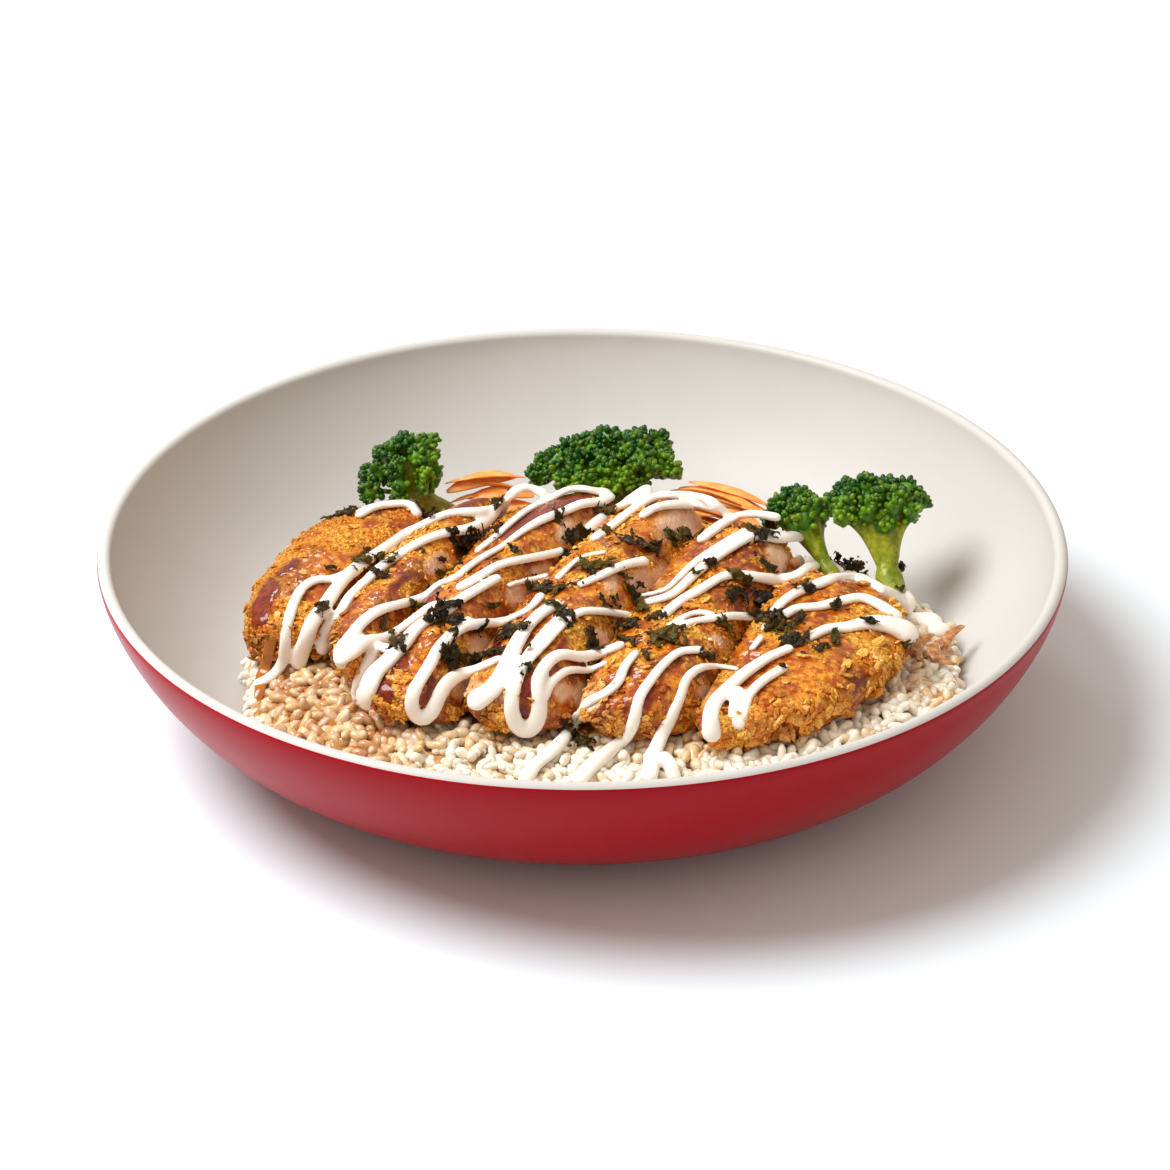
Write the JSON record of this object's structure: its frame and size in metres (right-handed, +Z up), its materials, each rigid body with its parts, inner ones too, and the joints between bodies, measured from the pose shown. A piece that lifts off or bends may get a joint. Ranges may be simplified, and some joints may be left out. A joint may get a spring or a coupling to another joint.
{
  "type": "bowl of teriyaki pork rice",
  "caption": "Shallow two-tone bowl of rice under a sliced breaded pork cutlet with dark glaze, mayonnaise, seaweed flakes and vegetables.",
  "frame": {"origin": "on the table plane, under the middle of the bowl", "axes": "+Z up, the diner sits on the -Y side, +X to the diner's right"},
  "size_m": [0.24, 0.24, 0.0477],
  "materials": {
    "bowl_shell": "satin cream inside, glossy deep red outside",
    "rice": "moist cooked rice, partly soaked with brown sauce",
    "cutlet": "golden brown crumb crust with glossy dark glaze",
    "mayonnaise": "smooth cream with a soft gloss",
    "seaweed": "dark green-black crinkled flakes",
    "glaze": "wet dark brown sauce",
    "broccoli": "boiled green buds on paler stems",
    "carrot": "moist orange shreds",
    "onion": "translucent browned strips"
  },
  "bodies": {
    "root": {"bowl": "bowl_shell", "rice_bed": "rice", "cutlet_slice_1": "cutlet", "cutlet_slice_2": "cutlet", "cutlet_slice_3": "cutlet", "cutlet_slice_4": "cutlet", "cutlet_slice_5": "cutlet", "cutlet_slice_6": "cutlet", "broccoli_left": "broccoli", "broccoli_centre": "broccoli", "broccoli_right_small": "broccoli", "broccoli_right_large": "broccoli", "carrot_shreds_left": "carrot", "carrot_shreds_right": "carrot", "onion_piece_1": "onion", "onion_piece_2": "onion", "onion_piece_3": "onion"}
  },
  "joints": []
}
